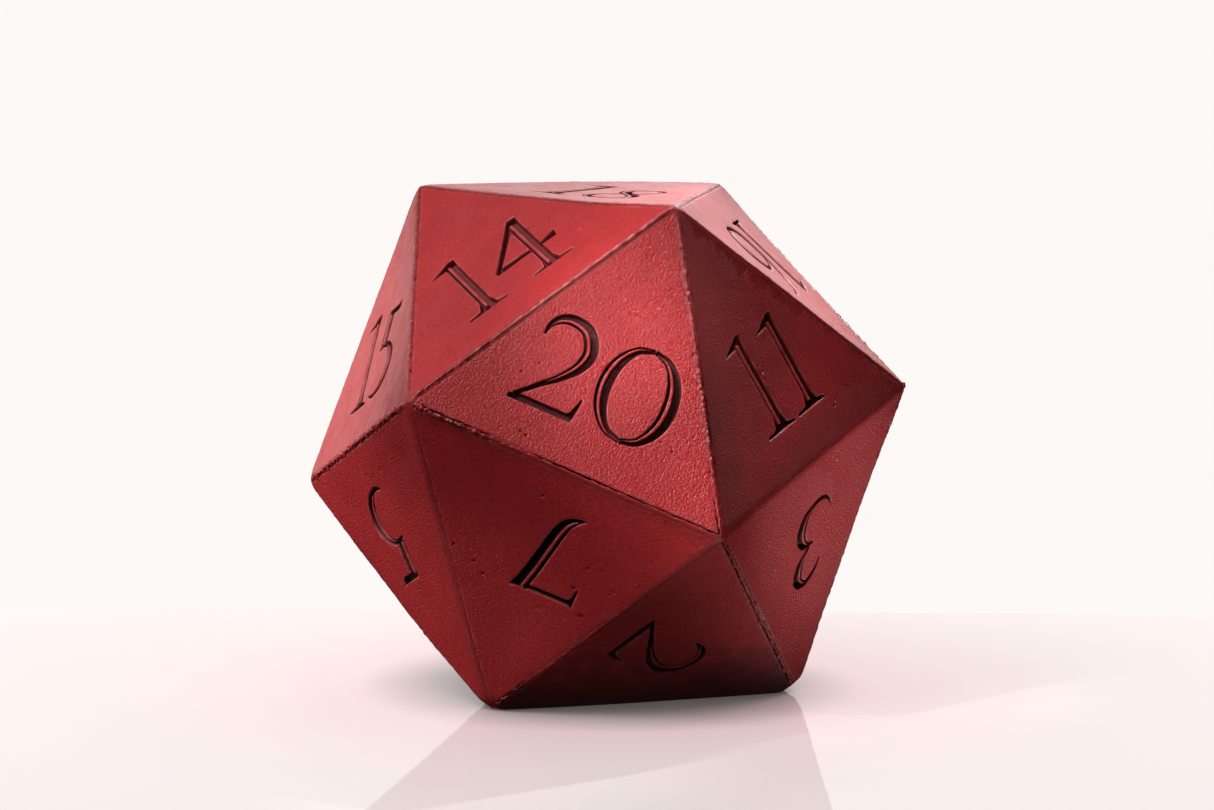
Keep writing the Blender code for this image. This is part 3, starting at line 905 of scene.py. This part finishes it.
# How far the crest's paler paint, wear and painted highlight, reaches from the fin.
CREST_HIGHLIGHT_WIDTH = 0.2
LIP_PLACE = (0.72, 0.16)  # of the pale lip beside an open gap, partly worn and partly a painted highlight, and its width, as shares
SEAM_DEPTH = 0.7
TUCKS = ((0.97, 0.25, 0.8), (0.85, SEAM_DEPTH, 1.0))  # below the skin: share, depth and darkness, which is painted shade in the seam's gap
KEEL_DEPTH = 1.5
SEAM_GRAIN = 0.25


def seam_looks(key, length, rng):
    """The look's numbers at each place along a seam."""
    stops = SEAM_LOOKS.get(key)
    if stops is None:
        stops = [(i / 4, rng.choice(OTHER_LOOKS)) for i in range(5)]
    shares = [share for share, _ in stops]
    values = np.array([LOOKS[name] for _, name in stops])
    return np.stack([np.interp(length, shares, column) for column in values.T])


def seam_side(face, key, along, reach):
    """Flat points of a face at places along one of its sides, and at a reach in from it."""
    start, direction, inwards = face.side_frame(*(face.names.index(name) for name in key))
    return start + np.outer(along, direction) + np.outer(reach, inwards)


def seam_mesh(rows):
    """The vertices and triangles of a closed bar whose long rows of vertices are given."""
    around, columns = len(rows), len(rows[0])
    vertices = np.stack(rows, axis=1).reshape(-1, 3)
    triangles = []
    for column in range(columns - 1):
        for i in range(around):
            a, b = column * around + i, column * around + (i + 1) % around
            triangles += [(a, b, b + around), (a, b + around, a + around)]
    last = (columns - 1) * around
    for i in range(1, around - 1):
        triangles += [(0, i + 1, i), (last, last + i, last + i + 1)]
    triangles = np.array(triangles)
    # A triangle beside the crest, halfway along, shows which way round they all are.
    test = 2 * (around // 2 - 1) + (columns // 2) * 2 * around
    corners = vertices[triangles[test]]
    if triangle_normals(vertices, triangles[test:test + 1])[0] @ (corners.mean(0) - CENTRE) < 0:
        triangles = triangles[:, ::-1]
    return vertices, triangles


def add_seam(low, high, key, material):
    rng = random.Random(key)
    seeds = [rng.random() * 60 for _ in range(8)]
    along = np.linspace(-0.1, EDGE + 0.1, int(EDGE / COLUMN_STEP) + 1)
    none, full = np.zeros(len(along)), np.ones(len(along))
    looks = seam_looks(key, along / EDGE, rng)
    fin_height, fin_rags, rag_length, gap_low, gap_high, gap_rags, stand = looks
    length = rag_length.mean()
    from_end = np.minimum(along, EDGE - along)
    fade = smooth(from_end, *END_FADE)
    rags = waves(along, length, seeds[0]) + 0.6 * waves(along, length / 3, seeds[1])
    fin = fade * (fin_height + fin_rags * rags)
    if key in END_SPIKES:
        corner, spike, reach = END_SPIKES[key]
        away = along if key[0] == corner else EDGE - along
        fin = fin + spike * np.exp(-((away / reach) ** 2))
    # The fin's crest is painted paler: partly wear, partly a painted highlight where it catches the light.
    crest_wear_and_highlight = np.clip((fin - 0.1) / 0.3, 0, 1) * (0.6 + 0.6 * waves(along, 1.1, seeds[6]))

    flanks = []
    for number, gap, seed in ((low, gap_low, seeds[2]), (high, gap_high, seeds[4])):
        face = ALL_FACES[number]
        ragged = waves(along, length * 1.3, seed) + 0.7 * waves(along, length / 2.5, seed + 7)
        width = np.clip(BORDER - gap - gap_rags * ragged, 0.12, 1.5)
        width = np.minimum(width, 0.62 * np.clip(from_end, 0, None) + 0.3)
        fuzz = 0.03 + 0.25 * np.abs(gap_rags)
        flank = []
        for share in PROFILE:
            reach = width * share
            points = seam_side(face, key, along, reach)
            height = face.base_height(points)
            height += fin * np.exp(-((reach / FIN_WIDTH) ** 2))
            spots = np.stack([along, reach * 3, np.full(len(along), seed)], axis=1)
            height += fade * fuzz * noise_at(spots, 0.6, 4) * (1 - share**2)
            height += fade * stand * (1 - share**6) - 0.05 * share**4
            lip = 0.25 * smooth(gap, -0.05, 0.2) * math.exp(-(((share - LIP_PLACE[0]) / LIP_PLACE[1]) ** 2))
            row_wear_and_highlight = np.maximum(crest_wear_and_highlight * np.exp(-((reach / CREST_HIGHLIGHT_WIDTH) ** 2)), lip)
            # The flank is painted darker towards the panel: painted shade in the crease.
            flank.append((face.place(points, height), 0.35 * share**8 * full, row_wear_and_highlight))
        for share, depth, darkness in TUCKS:
            points = seam_side(face, key, along, width * share)
            flank.append((face.place(points, face.base_height(points) - depth), darkness * full, none))
        flanks.append(flank)
    # The crest and the keel lie halfway between what the two faces make of them.
    middles = []
    # The keel is painted fully dark: painted shade deep in the gap.
    for depth, darkness, row_wear_and_highlight in ((0, none, crest_wear_and_highlight), (KEEL_DEPTH, full, none)):
        spots = []
        for number in (low, high):
            face = ALL_FACES[number]
            points = seam_side(face, key, along, none)
            spots.append(face.place(points, face.base_height(points) + fin + fade * stand - depth))
        middles.append(((spots[0] + spots[1]) / 2, darkness, row_wear_and_highlight))
    rows, dark_rows, wear_and_highlight_rows = zip(*flanks[0][::-1], middles[0], *flanks[1], middles[1])
    vertices, triangles = seam_mesh(rows)
    return add_piece(
        f"glue_seam_{low}_{high}", vertices, triangles, material,
        cut=np.stack(dark_rows, axis=1).ravel(),
        grain=np.full(len(vertices), SEAM_GRAIN),
        worn=np.stack(wear_and_highlight_rows, axis=1).ravel(),
    )


def shared_edges():
    """Each pair of numbers whose faces share an edge, with that edge's two corners."""
    numbers = sorted(FACES)
    for i, low in enumerate(numbers):
        for high in numbers[i + 1:]:
            shared = sorted(set(FACES[low]) & set(FACES[high]))
            if len(shared) == 2:
                yield low, high, "".join(shared)


# ---- Materials.

# The lighter and darker red of each rubber, and the near black of its cuts, grime and painted shade.
SKIN_COLOURS = (0.56, 0.031, 0.035, 1), (0.47, 0.026, 0.029, 1), (0.035, 0.005, 0.006, 1)
GLUE_COLOURS = (0.46, 0.029, 0.032, 1), (0.30, 0.018, 0.020, 1), (0.020, 0.003, 0.003, 1)
RUBBER_ROUGHNESS = 0.45
# Pale pink for worn rubber and for painted highlights on rims, lips and seam crests.
WEAR_AND_HIGHLIGHT_PINK = (0.80, 0.24, 0.24, 1)
FOAM_WALL, FOAM_CELL = (0.03, 0.004, 0.004, 1), (0.12, 0.014, 0.016, 1)
BUMP = {"Strength": 0.8, "Distance": 0.0004}


class Shader:
    """A short way to add nodes to a material and link them."""

    def __init__(self, name):
        self.material = bpy.data.materials.new(name)
        self.material.use_nodes = True
        self.tree = self.material.node_tree
        self.surface = self.tree.nodes["Principled BSDF"]

    def feed(self, socket, value):
        """Link another node's output to a socket, or set it to a value."""
        if isinstance(value, bpy.types.NodeSocket):
            self.tree.links.new(value, socket)
        else:
            socket.default_value = value

    def node(self, kind, inputs, output, **settings):
        """A new node's output, by its name or index."""
        made = self.tree.nodes.new(kind)
        for label, value in settings.items():
            setattr(made, label, value)
        for label, value in inputs.items():
            self.feed(made.inputs[label], value)
        return made.outputs[output]

    def place(self):
        return self.node("ShaderNodeTexCoord", {}, "Object")

    def attribute(self, name):
        return self.node("ShaderNodeAttribute", {}, "Fac", attribute_name=name)

    def noise(self, place, scale, detail=2.0, roughness=0.5, distortion=0.0):
        inputs = {"Vector": place, "Scale": scale, "Detail": detail,
                  "Roughness": roughness, "Distortion": distortion}
        return self.node("ShaderNodeTexNoise", inputs, "Fac")

    def math(self, operation, first, second, third=0.0):
        return self.node("ShaderNodeMath", {0: first, 1: second, 2: third}, 0, operation=operation)

    def between(self, value, from_low, from_high, to_low, to_high):
        inputs = {"Value": value, "From Min": from_low, "From Max": from_high,
                  "To Min": to_low, "To Max": to_high}
        return self.node("ShaderNodeMapRange", inputs, "Result")

    def mix(self, share, first, second):
        return self.node("ShaderNodeMix", {0: share, 6: first, 7: second}, 2, data_type="RGBA")

    def shelter(self, distance):
        """Near 0 where something stands within a distance, and 1 in the open."""
        return self.node("ShaderNodeAmbientOcclusion", {"Distance": distance}, "AO", samples=16)

    def set(self, **sockets):
        for label, value in sockets.items():
            self.feed(self.surface.inputs[label.replace("_", " ")], value)
        return self.material


def tinted(colour, factor):
    return tuple(min(1, c * factor) for c in colour[:3]) + (1,)


def rubber(name, light, dark, deep):
    """Skinned rubber: mottled red, a leathery grain, paler where worn and where highlights are painted,
    near black in the cuts and where shade is painted.
    """
    shader = Shader(name)
    spot = shader.place()
    cut, grain, worn = (shader.attribute(label) for label in ("cut", "grain", "worn"))
    leather = shader.noise(spot, 3000, 2.0, 0.5, 0.1)
    blotches = shader.between(shader.noise(spot, 70, 3.0, 0.55), 0.3, 0.7, 0, 1)
    colour = shader.mix(blotches, dark, light)
    colour = shader.mix(shader.between(leather, 0.30, 0.52, 0.42, 0), colour, tinted(light, 0.35))
    peaks = shader.between(shader.noise(spot, 2600), 0.55, 0.72, 0, 0.3)
    colour = shader.mix(peaks, colour, tinted(light, 1.7))
    specks = shader.between(shader.noise(spot, 900, 2.0, 0.6), 0.66, 0.76, 0, 0.5)
    colour = shader.mix(specks, colour, deep)
    # Paler where worn and where highlights are painted.
    colour = shader.mix(shader.math("MULTIPLY", worn, 0.85), colour, WEAR_AND_HIGHLIGHT_PINK)
    # Near black where the cut attribute says: grooves, pinholes, grime and painted shade.
    colour = shader.mix(shader.between(cut, 0, 1, 0, 0.97), colour, deep)
    relief = shader.math("MULTIPLY", leather, grain)
    relief = shader.math("MULTIPLY_ADD", shader.noise(spot, 7000, 1.0), 0.10, relief)
    bump = shader.node("ShaderNodeBump", {**BUMP, "Height": relief}, "Normal")
    rough = shader.noise(spot, 300, 3.0)
    rough = shader.between(rough, 0.3, 0.7, RUBBER_ROUGHNESS - 0.06, RUBBER_ROUGHNESS + 0.06)
    for amount, factor in ((cut, 0.35), (worn, -0.12), (grain, -0.14)):
        rough = shader.math("MULTIPLY_ADD", amount, factor, rough)
    return shader.set(Base_Color=colour, Roughness=rough, Normal=bump, Specular_IOR_Level=0.375)


def core_foam():
    """Open foam, seen only where a seam has opened."""
    shader = Shader("core_foam")
    cells = shader.node("ShaderNodeTexVoronoi", {"Vector": shader.place(), "Scale": 1400.0}, "Distance")
    colour = shader.mix(cells, FOAM_WALL, FOAM_CELL)
    bump = shader.node("ShaderNodeBump", {**BUMP, "Height": cells}, "Normal")
    return shader.set(Base_Color=colour, Normal=bump, Roughness=0.9)


# ---- Table, backdrop, light and camera.

# Level directions: towards the camera, and to its right.
LEVEL_BACK = unit(np.array([BACK[0], BACK[1], 0]))
LEVEL_RIGHT = np.array([-LEVEL_BACK[1], LEVEL_BACK[0], 0])

TABLE_BEHIND = 75  # how far the table reaches behind the die's centre
TABLE_TURN = 0.019  # slope of its far edge across the view
TABLE_SIZE = 2400
TABLE_THICKNESS = 20
TABLE_COLOUR = (0.2, 0.2, 0.195, 1)
# The table's own glow: in the open, a painted pink bounce near the die, and a painted contact shadow right
# under it.
GLOW_OPEN, PAINTED_PINK_BOUNCE, PAINTED_CONTACT_SHADOW = (1, 0.90, 0.89, 1), (1, 0.71, 0.72, 1), (0.12, 0.11, 0.11, 1)
GLOW_STRENGTH = 0.64
PINK_BOUNCE_REACH, CONTACT_SHADOW_REACH = 0.11, 0.02  # in metres

BACKDROP_BEHIND = 1000
BACKDROP_HALF_WIDTH = 850
BACKDROP_LOW, BACKDROP_HIGH = -20, 420
ROOM_RADIUS = 6000
ROOM_RINGS, ROOM_TURNS = 9, 24
PAPER = (0.985, 0.945, 0.922, 1)
WORLD_STRENGTH = 0.01

# Soft lights: name, bearing round the die from -Y and height in degrees, distance and size in
# metres, and power.
LIGHTS = (
    ("key", -80, 46, 1.2, 0.7, 12.9),
    ("back_right", 145, 38, 1.2, 0.7, 5.5),
    ("back_left", -150, 8, 1.2, 0.6, 1.0),
    ("card_front", 5, -40, 0.14, 0.05, 0.0095),
)

# Snooted lights: name, the corners it is aimed between, bearing, height, the radius of its
# pool in millimetres, and power.
SNOOTS = (
    ("snoot_glint", "CCCCDDE", -33, 22, 22, 9.5),
    ("snoot_glint_high", "CCCCCCDDE", -27, 34, 19, 15),
    ("snoot_20", "EEEC", -75, 40, 25, 25),
    ("snoot_5", "GHHHD", -90, -15, 28, 6),
    ("snoot_3", "FFIE", 70, -44, 32, 26),
    ("snoot_16", "CCBF", 130, 46, 33, 44),
    ("snoot_16_far", "FFFB", 130, 55, 24, 16),
    ("snoot_15", "AGG", -110, 20, 34, 22),
    ("snoot_under", "EEE", 10, -55, 18, 6),
)
SNOOT_DISTANCE, SNOOT_SOURCE = 1.0, 0.008  # both in metres


def add_stage_piece(name, corners, faces, material, mirrored=False):
    """A part of the studio that lights nothing, and that only the camera sees unless mirrored."""
    piece = add_object(name, corners, faces, material)
    piece.visible_diffuse = False
    if not mirrored:
        piece.visible_glossy = False
        piece.visible_shadow = False


def glowing(name):
    """Paper lit so evenly that it can be taken as a light of its own."""
    shader = Shader(name)
    shader.tree.nodes.remove(shader.surface)
    glow = shader.node("ShaderNodeEmission", {"Color": PAPER, "Strength": 1.0}, "Emission")
    shader.feed(shader.tree.nodes["Material Output"].inputs["Surface"], glow)
    return shader.material


def add_table():
    """A white acrylic table, lit from within as well, with a painted pink bounce and a painted contact
    shadow round the die.
    """
    corners = []
    for z in (0, -TABLE_THICKNESS):
        for across, along in ((-1, 0), (1, 0), (1, 1), (-1, 1)):
            reach = -TABLE_BEHIND + (along - across * TABLE_TURN) * TABLE_SIZE
            corners.append(LEVEL_RIGHT * across * TABLE_SIZE + LEVEL_BACK * reach + (0, 0, z))
    faces = [(0, 1, 2, 3), (7, 6, 5, 4), (0, 4, 5, 1), (1, 5, 6, 2), (2, 6, 7, 3), (3, 7, 4, 0)]
    shader = Shader("table_white")
    # Painted light and shade: the glow turns pink near the die and dark right under it.
    near, under = shader.shelter(PINK_BOUNCE_REACH), shader.shelter(CONTACT_SHADOW_REACH)
    glow = shader.mix(shader.between(near, 0.6, 0.985, 0, 1), PAINTED_PINK_BOUNCE, GLOW_OPEN)
    glow = shader.mix(shader.between(under, 0.22, 0.8, 0, 1), PAINTED_CONTACT_SHADOW, glow)
    material = shader.set(
        Base_Color=TABLE_COLOUR, Roughness=0.035, Specular_IOR_Level=0.055,
        Emission_Color=glow, Emission_Strength=GLOW_STRENGTH,
    )
    add_stage_piece("table", corners, faces, material)


def add_backdrop():
    """A lit sheet of paper behind the die, which the die and the table mirror."""
    corners = [
        LEVEL_RIGHT * across * BACKDROP_HALF_WIDTH - LEVEL_BACK * BACKDROP_BEHIND + (0, 0, z)
        for across, z in ((-1, BACKDROP_LOW), (1, BACKDROP_LOW), (1, BACKDROP_HIGH), (-1, BACKDROP_HIGH))
    ]
    add_stage_piece("backdrop", corners, [(0, 1, 2, 3)], glowing("backdrop_paper"), mirrored=True)


def add_room():
    """A pale room round everything."""
    corners, faces = [], []
    for ring in range(ROOM_RINGS + 1):
        rise = math.pi * (ring / ROOM_RINGS - 0.5)
        for step in range(ROOM_TURNS):
            turn = 2 * math.pi * step / ROOM_TURNS
            direction = (math.cos(rise) * math.cos(turn), math.cos(rise) * math.sin(turn), math.sin(rise))
            corners.append(ROOM_RADIUS * np.array(direction))
            if ring < ROOM_RINGS:
                first, second = (ring * ROOM_TURNS + (step + i) % ROOM_TURNS for i in (0, 1))
                faces.append((first, second, second + ROOM_TURNS, first + ROOM_TURNS))
    add_stage_piece("room", corners, faces, glowing("room_white"))


def place_light(name, kind, target, azimuth, elevation, distance, power):
    """A light that looks at a point from a direction round the die. The camera can't see it."""
    turn, rise = math.radians(azimuth), math.radians(elevation)
    towards = Vector((math.sin(turn) * math.cos(rise), -math.cos(turn) * math.cos(rise), math.sin(rise)))
    data = bpy.data.lights.new(name, kind)
    data.energy = power
    light = bpy.data.objects.new(name, data)
    light.location = Vector(target) * MM + towards * distance
    light.rotation_euler = towards.to_track_quat("Z", "Y").to_euler()
    light.visible_camera = False
    bpy.context.scene.collection.objects.link(light)
    return data


def add_lights():
    for name, azimuth, elevation, distance, size, power in LIGHTS:
        place_light(name, "AREA", CENTRE, azimuth, elevation, distance, power).size = size
    for name, corners, azimuth, elevation, radius, power in SNOOTS:
        target = sum(PLACES[corner] + DRIFTS[corner] for corner in corners) / len(corners)
        data = place_light(name, "SPOT", target, azimuth, elevation, SNOOT_DISTANCE, power)
        data.spot_size = 2 * math.atan(radius * MM / SNOOT_DISTANCE)
        data.spot_blend = 1.0
        data.shadow_soft_size = SNOOT_SOURCE
    world = bpy.data.worlds.new("studio")
    world.use_nodes = True
    background = world.node_tree.nodes["Background"]
    background.inputs["Color"].default_value = PAPER
    background.inputs["Strength"].default_value = WORLD_STRENGTH
    bpy.context.scene.world = world


def add_camera():
    data = bpy.data.cameras.new("camera")
    data.lens = VIEW_LENS
    data.sensor_width = 36
    data.clip_start = 0.01
    data.clip_end = 20
    camera = bpy.data.objects.new("camera", data)
    place = (CENTRE + BACK * VIEW_DISTANCE + UP * VIEW_RISE) * MM
    axes = Matrix((RIGHT, UP, BACK)).transposed().to_4x4()
    camera.matrix_world = Matrix.Translation(Vector(place)) @ axes
    bpy.context.scene.collection.objects.link(camera)
    bpy.context.scene.camera = camera


def main():
    add_camera()
    bpy.context.scene.view_settings.view_transform = "Standard"
    add_table()
    add_backdrop()
    add_room()
    add_lights()
    skin = rubber("red_rubber", *SKIN_COLOURS)
    glue = rubber("seam_rubber", *GLUE_COLOURS)
    for number in FACES:
        panel = add_panel(number, skin)
        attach(panel, "root")
        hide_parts(f"panel_{number}")
    for low, high, key in shared_edges():
        seam = add_seam(low, high, key, glue)
        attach(seam, "root")
        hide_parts(f"seam_bead_{low}_{high}")
    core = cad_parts["foam_core"]
    core.data.materials.clear()
    core.data.materials.append(core_foam())


main()
